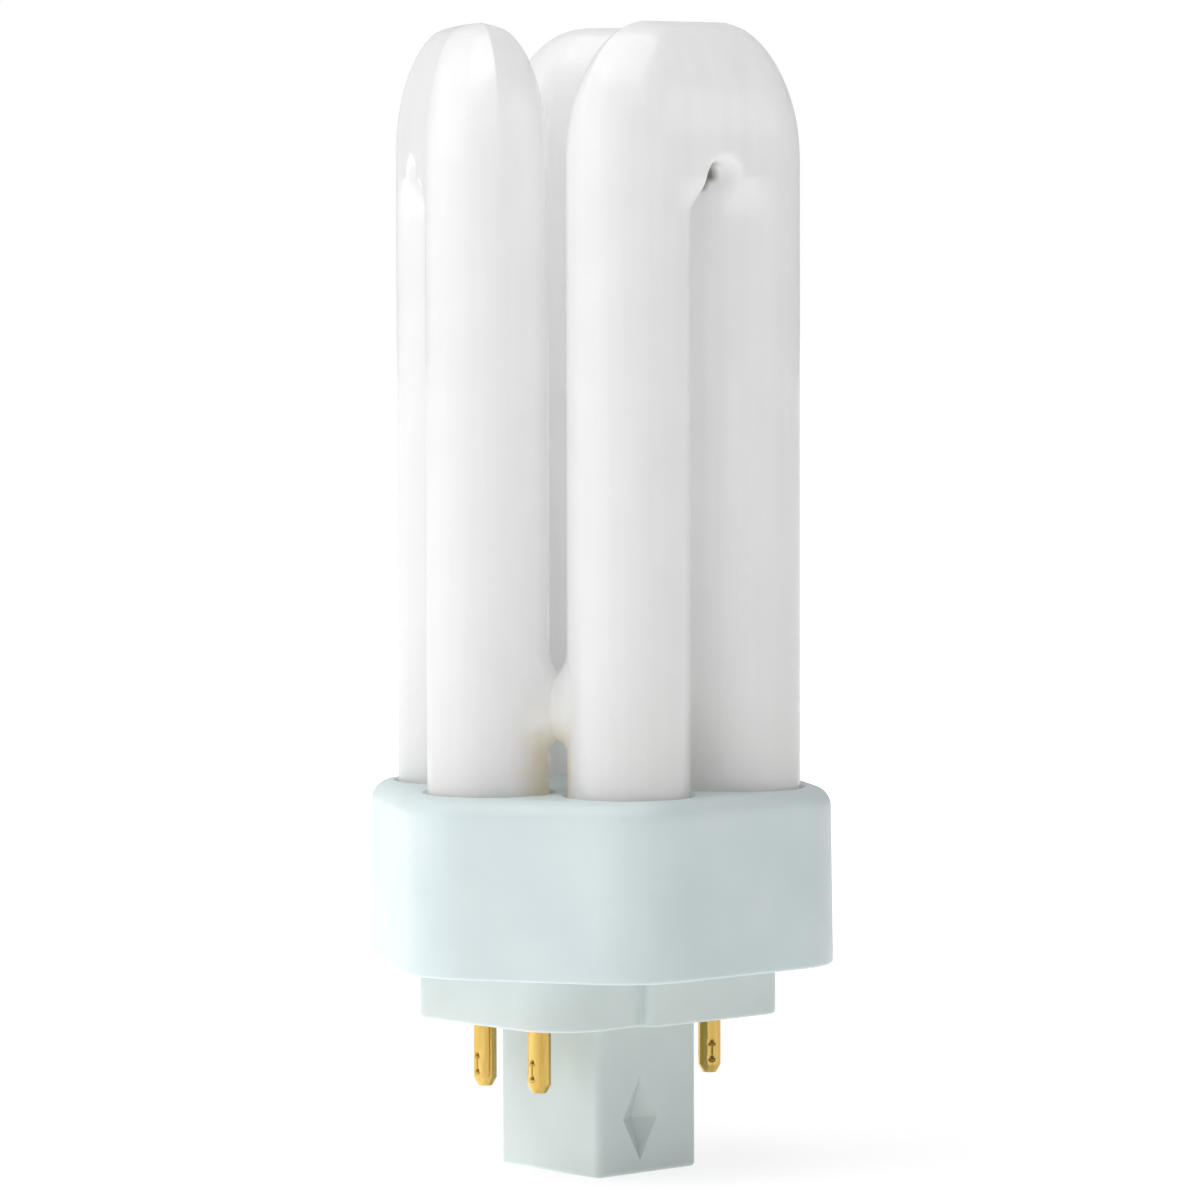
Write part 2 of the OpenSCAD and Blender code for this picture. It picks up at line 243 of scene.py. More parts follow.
def round_shell(radii: Array, heights: Array, spot: Sequence[float], count: int = 64) -> Shell:
    """Shell of a profile turned about an upright axis.

    Args:
        radii: Radius of each row, or of each row and angle, in mm.
        heights: Height of each row.
        spot: X and Y of the axis.
        count: Points in a ring.

    Returns:
        The closed shell.
    """
    a = np.linspace(0, 2 * np.pi, count, endpoint=False)
    r = radii if radii.ndim == 2 else radii[:, None]
    x, y = spot[0] + r * np.cos(a), spot[1] + r * np.sin(a)
    return closed_shell(np.stack([x, y, np.broadcast_to(heights[:, None], x.shape)], -1))


# Pieces made of the surfaces


class Join(Enum):
    """How a tool's shell acts on a piece."""

    ADD = "UNION"
    CUT = "DIFFERENCE"


def mesh_object(name: str, shells: Sequence[Shell]) -> Piece:
    """Make one mesh object of closed shells.

    Args:
        name: Name of the piece.
        shells: Its shells, in mm.

    Returns:
        The object, at the origin, in metres.
    """
    offsets = np.cumsum([0] + [len(s.points) for s in shells])
    points = np.vstack([s.points for s in shells]) * MM
    faces = [
        face
        for shell, offset in zip(shells, offsets)
        for part in (shell.quads, shell.tris)
        for face in (part + offset).tolist()
    ]
    mesh = bpy.data.meshes.new(name)
    mesh.from_pydata(points.tolist(), [], faces)
    mesh.update()
    piece = bpy.data.objects.new(name, mesh)
    bpy.context.scene.collection.objects.link(piece)
    return piece


def worked(piece: Piece, tools: Sequence[tuple[Join, Shell]]) -> Piece:
    """Add shells to a piece and cut shells from it, and keep the result as its mesh."""
    for how, shell in tools:
        tool = mesh_object("tool", [shell])
        step = piece.modifiers.new("step", "BOOLEAN")
        step.operation, step.solver, step.object = how.value, "EXACT", tool
        depsgraph = bpy.context.evaluated_depsgraph_get()
        done = bpy.data.meshes.new_from_object(piece.evaluated_get(depsgraph))
        piece.modifiers.clear()
        old, piece.data = piece.data, done
        spent = tool.data
        bpy.data.objects.remove(tool)
        bpy.data.meshes.remove(spent)
        bpy.data.meshes.remove(old)
    return piece


def dressed(
    piece: Piece, material: Material, nodes: Sequence[str], sharp: float
) -> Piece:
    """Shade a piece, give it its finish and put it in place of its nodes.

    Args:
        piece: The finished mesh object.
        material: Its finish.
        nodes: CAD nodes that it stands for.
        sharp: Angle in degrees above which an edge stays sharp.

    Returns:
        The same object.
    """
    mesh = piece.data
    mesh.name = piece.name
    mesh.materials.clear()
    mesh.materials.append(material)
    mesh.polygons.foreach_set("use_smooth", np.ones(len(mesh.polygons), bool))
    mesh.polygons.foreach_set("material_index", np.zeros(len(mesh.polygons), np.int32))
    mesh.set_sharp_from_angle(angle=math.radians(sharp))
    mesh.update()
    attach(piece, "root")
    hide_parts(*nodes)
    log.info("%s: %d faces", piece.name, len(mesh.polygons))
    return piece


# Finishes of the lamp's materials


@dataclass(frozen=True)
class Relief:
    """Fine relief of a surface, made from noise.

    Attributes:
        size: Size of its marks in mm along X, Y and Z.
        detail: Octaves of the noise.
        strength: Share of the relief that shows.
        depth: Depth in mm.
    """

    size: tuple[float, float, float]
    detail: float
    strength: float
    depth: float


class Finish:
    """A procedural finish: a Principled shader fed with patterns in millimetres."""

    name: str = "finish"

    def start(self) -> tuple[Material, Tree, Node, Socket]:
        """Make the material and its shader.

        Returns:
            The material, its tree, the Principled node, and Object
            coordinates in millimetres.
        """
        material = bpy.data.materials.new(self.name)
        material.use_nodes = True
        tree = material.node_tree
        shader = tree.nodes["Principled BSDF"]
        where = add_node(tree, "ShaderNodeTexCoord")
        values = {0: where.outputs["Object"], "Scale": (1 / MM,) * 3}
        scale = add_node(tree, "ShaderNodeMapping", values)
        return material, tree, shader, scale.outputs[0]

    def noise(self, tree: Tree, place: Socket, size: Sequence[float], detail: float) -> Socket:
        """Noise in patches of a size in mm along X, Y and Z."""
        scale = add_node(tree, "ShaderNodeMapping", {0: place, "Scale": tuple(1 / s for s in size)})
        values = {"Vector": scale.outputs[0], "Scale": 1.0, "Detail": detail}
        return add_node(tree, "ShaderNodeTexNoise", values).outputs[0]

    def mottled(
        self, tree: Tree, place: Socket, size: Sequence[float], low: str, high: str
    ) -> Socket:
        """Blend two colours in soft patches.

        Args:
            tree: The material's tree.
            place: Coordinates in mm.
            size: Patch size in mm along X, Y and Z.
            low: Colour where the noise is low.
            high: Colour where it is high.

        Returns:
            The colour.
        """
        noise = self.noise(tree, place, size, 3.0)
        share = add_node(tree, "ShaderNodeMapRange", {0: noise, 1: NOISE_LOW, 2: NOISE_HIGH})
        ends = {0: share.outputs[0], 6: linear(low), 7: linear(high)}
        return add_node(tree, "ShaderNodeMix", ends, data_type="RGBA").outputs[2]

    def uneven_gloss(
        self, tree: Tree, shader: Node, noise: Socket, low: float, high: float
    ) -> None:
        """Let noise carry the shader's roughness from a low to a high value."""
        ends = {0: noise, 1: NOISE_LOW, 2: NOISE_HIGH, 3: low, 4: high}
        gloss = add_node(tree, "ShaderNodeMapRange", ends)
        tree.links.new(gloss.outputs[0], shader.inputs["Roughness"])

    def raised(
        self, tree: Tree, shader: Node, place: Socket, relief: Relief
    ) -> tuple[Socket, Socket]:
        """Give the shader a relief.

        Args:
            tree: The material's tree.
            shader: The Principled node.
            place: Coordinates in mm.
            relief: The relief.

        Returns:
            The relief's noise and its normal.
        """
        noise = self.noise(tree, place, relief.size, relief.detail)
        bump = add_node(
            tree,
            "ShaderNodeBump",
            {"Height": noise, "Strength": relief.strength, "Distance": relief.depth * MM},
        )
        tree.links.new(bump.outputs[0], shader.inputs["Normal"])
        return noise, bump.outputs[0]


@dataclass(frozen=True)
class CoatedGlass(Finish):
    """Drawn and blown soda lime glass, coated inside with white phosphor.

    The powder gives a matt, slightly cloudy white that lets part of the light
    pass through the wall. The glass over it gives clear reflections. Beside
    each bridge, where the glass was heated to join it, the powder is thin and
    the wall shows a warm grey. Deep in the slots' ends the colour is painted
    darker, as painted shade where shade falls between the limbs.

    Attributes:
        name: The material's name.
        powder: Colour of the thick powder.
        powder_thin: Colour of the thinner powder.
        bare: Colour of the wall beside the bridges.
        slot_shade: Colour of the painted shade in the slots' ends.
        cloud_mm: Size of the powder's clouds.
        streak_mm: Width of its streaks.
        streak_length: Length of a streak over its width.
        streak_share: Share of the streaks in the powder's colour.
        wobble_mm: Size of the waves on the thin powder's border.
        wobble_reach: Distance that the waves take up, in mm.
        core: Share of the thin powder's spread that is wholly bare.
        core_h: Height above the deck up to which it is wholly bare, in mm.
        roughness: Roughness of the powder.
        ior: Refractive index of the glass.
        coat: Strength of the glass over the powder.
        coat_roughness: Roughness of the glass.
        passed: Share of the light that passes the wall.
        ripple: Ripples that drawing leaves in the glass.
    """

    name: str = "powder_coated_glass"
    powder: str = "#F9F9F9"
    powder_thin: str = "#F3F3F3"
    bare: str = "#EEE7D4"
    slot_shade: str = "#7C7A6F"
    cloud_mm: float = 7.0
    streak_mm: float = 1.3
    streak_length: float = 30.0
    streak_share: float = 0.5
    wobble_mm: float = 2.0
    wobble_reach: float = 1.6
    core: float = 0.45
    core_h: float = 3.5
    roughness: float = 0.30
    ior: float = 1.52
    coat: float = 0.8
    coat_roughness: float = 0.06
    passed: float = 0.45
    ripple: Relief = Relief((6.25, 6.25, 20.0), 1.0, 0.25, 0.12)

    def thin_powder(
        self, tree: Tree, place: Socket, bridges: Array, spread: float, top: float, deck: float
    ) -> Socket:
        """Share of thin powder: 1 close beside a bridge, falling outwards and upwards.

        Args:
            tree: The material's tree.
            place: Coordinates in mm.
            bridges: X and Y of each bridge's middle, in mm.
            spread: Distance from there at which the powder is whole again.
            top: Height at which the powder is whole again.
            deck: Height of the deck.

        Returns:
            The share.
        """
        flat = add_node(
            tree, "ShaderNodeVectorMath", {0: place, 1: (1.0, 1.0, 0.0)}, operation="MULTIPLY"
        ).outputs[0]
        near = [
            add_node(tree, "ShaderNodeVectorMath", {0: flat, 1: (x, y, 0.0)}, operation="DISTANCE")
            for x, y in bridges
        ]
        ways = {i: node.outputs["Value"] for i, node in enumerate(near)}
        least = add_node(tree, "ShaderNodeMath", ways, operation="MINIMUM").outputs[0]
        wobble = self.noise(tree, place, (self.wobble_mm,) * 3, 2.0)
        uneven = add_node(
            tree,
            "ShaderNodeMath",
            {0: wobble, 1: self.wobble_reach, 2: least},
            operation="MULTIPLY_ADD",
        )
        height = add_node(tree, "ShaderNodeSeparateXYZ", {0: place})
        side, low = (
            add_node(
                tree,
                "ShaderNodeMapRange",
                {0: value, 1: start, 2: stop, 3: 1.0, 4: 0.0},
                interpolation_type="SMOOTHSTEP",
            ).outputs[0]
            for value, start, stop in (
                (uneven.outputs[0], self.core * spread, spread + self.wobble_reach / 2),
                (height.outputs[2], deck + self.core_h, top),
            )
        )
        return add_node(tree, "ShaderNodeMath", {0: side, 1: low}, operation="MULTIPLY").outputs[0]

    def material(self, bridges: Array, spread: float, top: float, deck: float) -> Material:
        """Make the finish.

        The powder's colour goes over into that of the bare wall by the share
        of thin powder, and then into the painted shade of the slots' ends by the
        piece's point attribute that holds its share. The arguments are those of thin_powder.

        Returns:
            The material.
        """
        material, tree, shader, place = self.start()
        long = (self.streak_mm, self.streak_mm, self.streak_length * self.streak_mm)
        cloud = self.mottled(tree, place, (self.cloud_mm,) * 3, self.powder_thin, self.powder)
        streak = self.mottled(tree, place, long, self.powder_thin, self.powder)
        thin = self.thin_powder(tree, place, bridges, spread, top, deck)
        # Painted shade: share of the darker colour deep in each slot's end, where shade falls
        # between the limbs.
        slot_shade = add_node(tree, "ShaderNodeAttribute", attribute_name="painted_slot_shade")
        colour = cloud
        # Each step mixes in one colour: streaks, thin powder by the bridges, and last the painted
        # shade of the slots' ends.
        for share, other in (
            (self.streak_share, streak),
            (thin, linear(self.bare)),
            (slot_shade.outputs["Fac"], linear(self.slot_shade)),
        ):
            ends = {0: share, 6: colour, 7: other}
            colour = add_node(tree, "ShaderNodeMix", ends, data_type="RGBA").outputs[2]
        tree.links.new(colour, shader.inputs["Base Color"])
        for socket, value in (
            ("Roughness", self.roughness),
            ("IOR", self.ior),
            ("Coat Weight", self.coat),
            ("Coat Roughness", self.coat_roughness),
            ("Coat IOR", self.ior),
        ):
            shader.inputs[socket].default_value = value
        normal = self.raised(tree, shader, place, self.ripple)[1]
        tree.links.new(normal, shader.inputs["Coat Normal"])
        through = add_node(tree, "ShaderNodeBsdfTranslucent", {0: colour, 1: normal})
        both = {0: self.passed, 1: shader.outputs[0], 2: through.outputs[0]}
        wall = add_node(tree, "ShaderNodeMixShader", both)
        tree.links.new(wall.outputs[0], tree.nodes["Material Output"].inputs[0])
        return material


@dataclass(frozen=True)
class MouldedPlastic(Finish):
    """Injection moulded polyester with a fine spark eroded texture.

    The texture spreads the highlights, the filler clouds the colour a little,
    and the plastic glows faintly where light enters its edges.
    """

    name: str = "moulded_plastic"
    pale: str = "#CFDADB"
    deep: str = "#C7D3D4"
    cloud_mm: float = 9.0
    roughness: float = 0.42
    gloss_play: float = 0.05
    gloss_mm: float = 4.0
    ior: float = 1.5
    glow: float = 0.2
    glow_mm: float = 0.8
    grain: Relief = Relief((0.35, 0.35, 0.35), 2.0, 0.18, 0.03)

    def material(self) -> Material:
        """Make the finish."""
        material, tree, shader, place = self.start()
        colour = self.mottled(tree, place, (self.cloud_mm,) * 3, self.deep, self.pale)
        tree.links.new(colour, shader.inputs["Base Color"])
        patch = self.noise(tree, place, (self.gloss_mm,) * 3, 2.0)
        self.uneven_gloss(
            tree, shader, patch, self.roughness - self.gloss_play, self.roughness + self.gloss_play
        )
        self.raised(tree, shader, place, self.grain)
        shader.inputs["IOR"].default_value = self.ior
        shader.inputs["Subsurface Weight"].default_value = self.glow
        shader.inputs["Subsurface Radius"].default_value = (1.0, 1.0, 1.0)
        shader.inputs["Subsurface Scale"].default_value = self.glow_mm * MM
        return material


@dataclass(frozen=True)
class DrawnBrass(Finish):
    """Drawn and plated brass.

    Drawing leaves fine marks along the pin, which make the gloss uneven, and
    the crimps are darker.
    """

    name: str = "drawn_brass"
    bright: str = "#D2B36A"
    dull: str = "#BC9A4C"
    dark: str = "#7A5626"
    tone_mm: tuple[float, float, float] = (0.7, 0.7, 9.0)
    dark_from: float = 0.02
    dark_to: float = 0.2
    smoothest: float = 0.12
    roughest: float = 0.26
    marks: Relief = Relief((1 / 9, 1 / 9, 1 / 0.7), 3.0, 0.15, 0.02)

    def material(self) -> Material:
        """Make the finish, dark where the piece's "dent" attribute gives a depth in mm."""
        material, tree, shader, place = self.start()
        tone = self.mottled(tree, place, self.tone_mm, self.dull, self.bright)
        dent = add_node(tree, "ShaderNodeAttribute", attribute_name="dent")
        depth = {0: dent.outputs["Fac"], 1: self.dark_from, 2: self.dark_to}
        share = add_node(tree, "ShaderNodeMapRange", depth).outputs[0]
        ends = {0: share, 6: tone, 7: linear(self.dark)}
        colour = add_node(tree, "ShaderNodeMix", ends, data_type="RGBA")
        tree.links.new(colour.outputs[2], shader.inputs["Base Color"])
        shader.inputs["Metallic"].default_value = 1.0
        line = self.raised(tree, shader, place, self.marks)[0]
        self.uneven_gloss(tree, shader, line, self.smoothest, self.roughest)
        return material


@dataclass(frozen=True)
class TinnedWire(Finish):
    """Tinned wire, drawn smooth and dulled by soldering heat."""

    name: str = "tinned_wire"
    bright: str = "#C9CACB"
    dull: str = "#9B9A97"
    patch_mm: float = 0.4
    roughness: float = 0.35

    def material(self) -> Material:
        """Make the finish."""
        material, tree, shader, place = self.start()
        tone = self.mottled(tree, place, (self.patch_mm,) * 3, self.dull, self.bright)
        tree.links.new(tone, shader.inputs["Base Color"])
        shader.inputs["Metallic"].default_value = 1.0
        shader.inputs["Roughness"].default_value = self.roughness
        return material


@dataclass(frozen=True)
class SetSealant(Finish):
    """Poured sealant, set rough and matt, an off white that gathers a little dust."""

    name: str = "set_sealant"
    clean: str = "#E4E5DF"
    dusty: str = "#CFCFC6"
    patch_mm: float = 1.2
    roughness: float = 0.7
    lumps: Relief = Relief((0.625, 0.625, 0.625), 3.0, 0.4, 0.15)

    def material(self) -> Material:
        """Make the finish."""
        material, tree, shader, place = self.start()
        tone = self.mottled(tree, place, (self.patch_mm,) * 3, self.dusty, self.clean)
        tree.links.new(tone, shader.inputs["Base Color"])
        shader.inputs["Roughness"].default_value = self.roughness
        self.raised(tree, shader, place, self.lumps)
        return material


# The glass


class Foot(Enum):
    """How a limb ends inside the housing."""

    DOMED = "domed"
    PINCHED = "pinched"


@dataclass
class DischargeVessel:
    """Three bent tubes joined by two bridges, blown as one piece of glass.

    Sizes are in mm. Each bent tube is worked out with its own plane as X and
    Z, its slot's middle at x = 0, and is then moved out and turned into place.
    """

    tube_r: float = 6.0
    half_pitch: float = 7.45
    u_offset: float = 12.598
    chord_y: float = 12.751
    chord_l: float = 14.37
    foot_z: float = 27.0
    deck_z: float = 38.2
    slot_z: float = 97.8
    top_z: float = 113.3
    shoulder_w: float = 8.6
    shoulder_h: float = 10.4
    crest_taper: float = 13.0
    crest_t: float = 1.8
    slot_fall: float = 3.6
    slot_rise: float = 0.6
    slot_edge: float = 1.2
    # Painted shade in the slots' ends: width beside the arch, depth off the tube's plane, fall
    # below the slot's end, and its fades.
    shade_w: float = 0.45
    shade_d: float = 2.5
    shade_fall: float = 1.3
    shade_fade: tuple[float, float, float] = (0.3, 0.6, 0.8)
    ridge: float = 0.5
    bridge_z: float = 8.0
    bridge_r: float = 2.7
    bridge_rise: float = 1.1
    flare_up: float = 6.9
    flare_down: float = 4.6
    flare_angle: float = 46.0
    seam_angle: float = 24.0
    seam_pull: float = 0.45
    wall_pull: float = 0.5
    bridge_sink: float = 0.02
    thin_spread: float = 6.0
    thin_above: float = 3.0
    pinch_h: float = 5.0
    pinch_t: float = 2.6
    pinch_z: float = 26.0
    exhaust_r: float = 1.4
    exhaust_h: float = 2.2
    turns: tuple[float, ...] = (0.0, -120.0, -240.0)
    bridge_turns: tuple[float, ...] = (-60.0, 60.0)
    feet: tuple[Foot, ...] = (Foot.DOMED, Foot.DOMED, Foot.PINCHED) + (
        Foot.DOMED,
        Foot.DOMED,
        Foot.PINCHED,
    )
    exhaust_limb: int = 1
    around: int = 72
    head_rows: int = 97
    foot_rows: int = 12
    limb_rows: int = 26
    web_rows: int = 16
    bridge_around: int = 64
    bridge_rows: int = 18
    sharp: float = 50.0
    finish: CoatedGlass = field(default_factory=CoatedGlass)

    def limb_spots(self) -> Array:
        """X and Y of the six limbs, in order round the three bent tubes."""
        x, y = self.half_pitch, -self.u_offset
        pair = np.array([[-x, y, 0.0], [x, y, 0.0]])
        return np.vstack([turned(pair, a) for a in self.turns])[:, :2]

    def bridge_spots(self) -> Array:
        """X and Y of the middle of each bridge."""
        spot = np.array([[0.0, -self.chord_y, 0.0]])
        return np.vstack([turned(spot, a) for a in self.bridge_turns])[:, :2]

    def rounding(self, z: Array, h: float) -> Array:
        """Quarter ellipse that falls from 1 to 0 over the head's last h: sqrt(1 - t^2)."""
        t = np.clip((z - (self.top_z - self.slot_z - h)) / h, 0.0, 1.0)
        return np.sqrt(1.0 - t * t)

    def half_length(self, z: Array) -> Array:
        """Half the head's length at a height: limb to limb, less the shoulders' rounding."""
        shoulder = self.shoulder_w * (1.0 - self.rounding(z, self.shoulder_h))
        return self.half_pitch + self.tube_r - shoulder

    def outer_edge(self, angle: Array) -> Array:
        """Distance from the slot's end to the head's outline, along each ray.

        The outline is the half length at each height, closed by the level
        crest. Its points are turned into angle and distance and read off at
        the wanted angles. The other half mirrors it.
        """
        h = self.top_z - self.slot_z
        z = h * np.sin(np.linspace(0.0, np.pi / 2, 200))
        x = self.half_length(z)
        crest = np.linspace(x[-1], 0.0, 40)[1:]
        x, z = np.append(x, crest), np.append(z, np.full(39, h))
        fold = np.where(angle > np.pi / 2, np.pi - angle, angle)
        return np.interp(fold, np.arctan2(z, x), np.hypot(x, z))

    def thickness(self, x: Array, z: Array, rho: Array) -> Array:
        """Half the head's thickness at a point of its plane.

        It is the thickness at the height, times the round end beyond each
        limb's middle, times the round edge beside the slot. That edge is as
        wide as the limb's radius along the slot and narrow round the slot's
        end, and the first form goes over into the second by a share that
        grows with the height. The crest's last part is closed by a quarter
        circle.
        """
        h = self.top_z - self.slot_z
        crest_half = self.crest_t / 2
        full = crest_half + (self.tube_r - crest_half) * self.rounding(z, self.crest_taper)
        half = self.half_length(z)
        end = self.tube_r * half / (self.half_pitch + self.tube_r)
        middle = half - end
        past = np.clip(1.0 - (np.clip(np.abs(x) - middle, 0.0, None) / end) ** 2, 0.0, 1.0)
        past = past ** (0.5 + self.ridge * smooth(1.25 * z / h - 0.15))
        limb, web = (
            np.sqrt(1.0 - np.clip((self.slot_r() + edge - rho) / edge, 0.0, 1.0) ** 2)
            for edge in (self.tube_r, self.slot_edge)
        )
        share = smooth((z + self.slot_fall) / (self.slot_fall + self.slot_rise))
        crest = np.clip((z - h + crest_half) / crest_half, 0.0, 1.0)
        return full * past * (limb + (web - limb) * share) * np.sqrt(1.0 - crest * crest)

    def slot_r(self) -> float:
        """Radius of the arch that closes the slot."""
        return self.half_pitch - self.tube_r

    def head_rings(self) -> Array:
        """Sections of the head on rays that swing from one limb to the other.

        On the ray at angle a from the slot's end, a section's point v lies at
        distance m + d cos v from the end, where m and d are the middle and
        half of the way from the arch to the outline. It stands off the plane
        by the thickness there, to the side that sin v gives.
        """
        part = np.linspace(0.0, 1.0, self.head_rows)
        ray = np.radians(180.0 - 180.0 * smooth(part) * 0.5 - 90.0 * part)
        v = np.linspace(0.0, 2 * np.pi, self.around, endpoint=False)
        outer, inner = self.outer_edge(ray)[:, None], self.slot_r()
        rho = (inner + outer) / 2 + (outer - inner) / 2 * np.cos(v)
        x, z = rho * np.cos(ray)[:, None], rho * np.sin(ray)[:, None]
        y = np.sign(np.sin(v)) * self.thickness(x, z, rho)
        y = np.where(np.abs(np.sin(v)) < 1e-9, 0.0, y)
        return np.stack([x, y, self.slot_z + z], -1)

    def limb_rings(self, side: int, foot: Foot) -> Array:
        """Round sections of a limb from its foot up to the slot.

        Radius r up to the foot's centre, and below it sqrt(r^2 - d^2) for a
        dome. Section points run as the head's do: outer side first. The last
        rows below the slot's end take the head's thickness, so the limb goes
        over into the head without a step.
        """
        r, base = self.tube_r, self.foot_z
        if foot is Foot.DOMED:
            swing = np.linspace(0.06, np.pi / 2, self.foot_rows)
            z, radius = base + r - r * np.cos(swing), r * np.sin(swing)
        else:
            z = np.linspace(self.pinch_z, base + r, self.foot_rows)
            radius = np.full(self.foot_rows, r)
        low = self.slot_z - self.slot_fall
        rise = np.linspace(base + r, low, self.limb_rows)[1:]
        rise = np.append(rise, np.linspace(low, self.slot_z, self.web_rows)[1:-1])
        z, radius = np.append(z, rise), np.append(radius, np.full(len(rise), r))
        v = np.linspace(0.0, 2 * np.pi, self.around, endpoint=False)
        x = side * (self.half_pitch + radius[:, None] * np.cos(v))
        y = radius[:, None] * np.sin(v)
        level = np.broadcast_to(z[:, None], x.shape)
        webbed = level > low
        half = self.thickness(x, np.minimum(level - self.slot_z, 0.0), np.abs(x))
        form = np.sign(np.sin(v)) * half
        y = np.where(webbed & (np.abs(np.sin(v)) > 1e-9), form, y)
        return np.stack([x, y, level], -1)

    def bent_tube(self, index: int) -> Shell:
        """One bent tube: a limb up, the head and a limb down, turned into place.

        A pinched foot is held between two planes that close in below the
        housing's deck: half the gap grows by one mm for each mm of height
        above the flattened length.
        """
        left, right = self.feet[2 * index], self.feet[2 * index + 1]
        rings = np.concatenate(
            [self.limb_rings(-1, left), self.head_rings(), self.limb_rings(1, right)[::-1]]
        )
        rings = turned(rings + np.array([0.0, -self.u_offset, 0.0]), self.turns[index])
        spots = self.limb_spots()
        for limb, foot in ((2 * index, left), (2 * index + 1, right)):
            if foot is Foot.PINCHED:
                away = rings[..., :2] - spots[limb]
                here = np.hypot(away[..., 0], away[..., 1]) < self.tube_r + 0.5
                press = self.foot_z + self.pinch_h
                gap = self.pinch_t / 2 + np.clip(rings[..., 2] - press, 0.0, None)
                held = spots[limb][0] + np.clip(rings[..., 0] - spots[limb][0], -gap, gap)
                rings[..., 0] = np.where(here & (rings[..., 2] < self.deck_z), held, rings[..., 0])
        return closed_shell(rings)

    def bridge(self, turn: float) -> Shell:
        """Neck between two neighbouring tubes, drawn out of their walls.

        The waist is a circle, taller above its middle. Each end follows the
        limb's wall: angle round the limb by the sine and height by the cosine
        of the position round the neck. Between them runs a cubic that leaves
        the waist along the chord, leaning outwards by the seam's angle, and
        meets the wall in the wall's own direction. So the glass flows into
        the wall without an edge, and a seam marks the waist.
        """
        v = np.linspace(0.0, 2 * np.pi, self.bridge_around, endpoint=False)
        c, s, r = np.cos(v), np.sin(v), self.tube_r - self.bridge_sink
        beta = math.radians(self.flare_angle) * s
        height = np.where(c > 0, self.flare_up, self.flare_down) * c
        tall = np.where(c > 0, self.bridge_r + self.bridge_rise, self.bridge_r)
        waist = np.stack([np.zeros(len(v)), self.bridge_r * s, tall * c], -1)
        foot = np.stack([self.chord_l / 2 - r * np.cos(beta), r * np.sin(beta), height], -1)
        away = np.stack([beta * r * np.sin(beta), beta * r * np.cos(beta), height], -1)
        away = away / np.linalg.norm(away, axis=1)[:, None]
        pull = np.linalg.norm(foot - waist, axis=1)[:, None]
        lean = math.tan(math.radians(self.seam_angle))
        lead = (np.array([1.0, 0.0, 0.0]) + lean * waist / self.bridge_r) * self.seam_pull
        lead = lead * foot[:, :1]
        t = np.linspace(0.0, 1.0, self.bridge_rows)[:, None, None]
        a, b = waist + lead, foot - self.wall_pull * pull * away
        half = (1 - t) ** 3 * waist + 3 * (1 - t) ** 2 * t * a
        half = half + 3 * (1 - t) * t * t * b + t**3 * foot
        mirrored = half[:0:-1] * np.array([-1.0, 1.0, 1.0])
        middle = np.array([0.0, -self.chord_y, self.deck_z + self.bridge_z])
        return closed_shell(turned(np.concatenate([mirrored, half]) + middle, turn))

    def exhaust_tip(self) -> Shell:
        """Short sealed tube below one foot, with a round end."""
        swing = np.linspace(0.05, np.pi / 2, 8)
        low = self.foot_z - self.exhaust_h
        z = np.append(low + self.exhaust_r * (1 - np.cos(swing)), self.foot_z + self.tube_r / 2)
        radius = np.append(self.exhaust_r * np.sin(swing), self.exhaust_r)
        return round_shell(radius, z, self.limb_spots()[self.exhaust_limb], 24)

    def slot_shade_share(self, points: Array) -> Array:
        """Share of painted shade at each point: 1 deep in a slot's end, where shade falls.

        It is the product of three shares: close to the slot's edge, close to
        the tube's own plane, more so further up, and above the slot's last
        part.
        """
        share = np.zeros(len(points))
        side_fade, depth_fade, height_fade = self.shade_fade
        for turn in self.turns:
            own = turned(points, -turn) + np.array([0.0, self.u_offset, -self.slot_z])
            x, y, z = own.T
            rho = np.where(z > 0.0, np.hypot(x, z), np.abs(x))
            beside = smooth((self.slot_r() + self.shade_w - rho) / side_fade)
            deep = smooth((self.shade_d + z - np.abs(y)) / depth_fade)
            share = np.maximum(share, beside * deep * smooth((z + self.shade_fall) / height_fade))
        return share

    def build(self) -> Piece:
        """Make the glass as one piece, and mark the painted shade of its slots' ends for the
        finish.
        """
        parts = [self.bent_tube(i) for i in (1, 2)]
        parts += [self.bridge(a) for a in self.bridge_turns] + [self.exhaust_tip()]
        top = self.deck_z + self.bridge_z + self.thin_above
        material = self.finish.material(self.bridge_spots(), self.thin_spread, top, self.deck_z)
        first = mesh_object("glass_tubes", [self.bent_tube(0)])
        piece = worked(first, [(Join.ADD, part) for part in parts])
        # Painted shade deep in each slot's end, kept as a point attribute that the glass finish
        # reads.
        places = np.empty(3 * len(piece.data.vertices), np.float32)
        piece.data.vertices.foreach_get("co", places)
        mark = piece.data.attributes.new("painted_slot_shade", "FLOAT", "POINT")
        share = self.slot_shade_share(places.reshape(-1, 3) / MM)
        mark.data.foreach_set("value", share.astype(np.float32))
        return dressed(piece, material, ["discharge_vessel"], self.sharp)


# The plastic mouldings


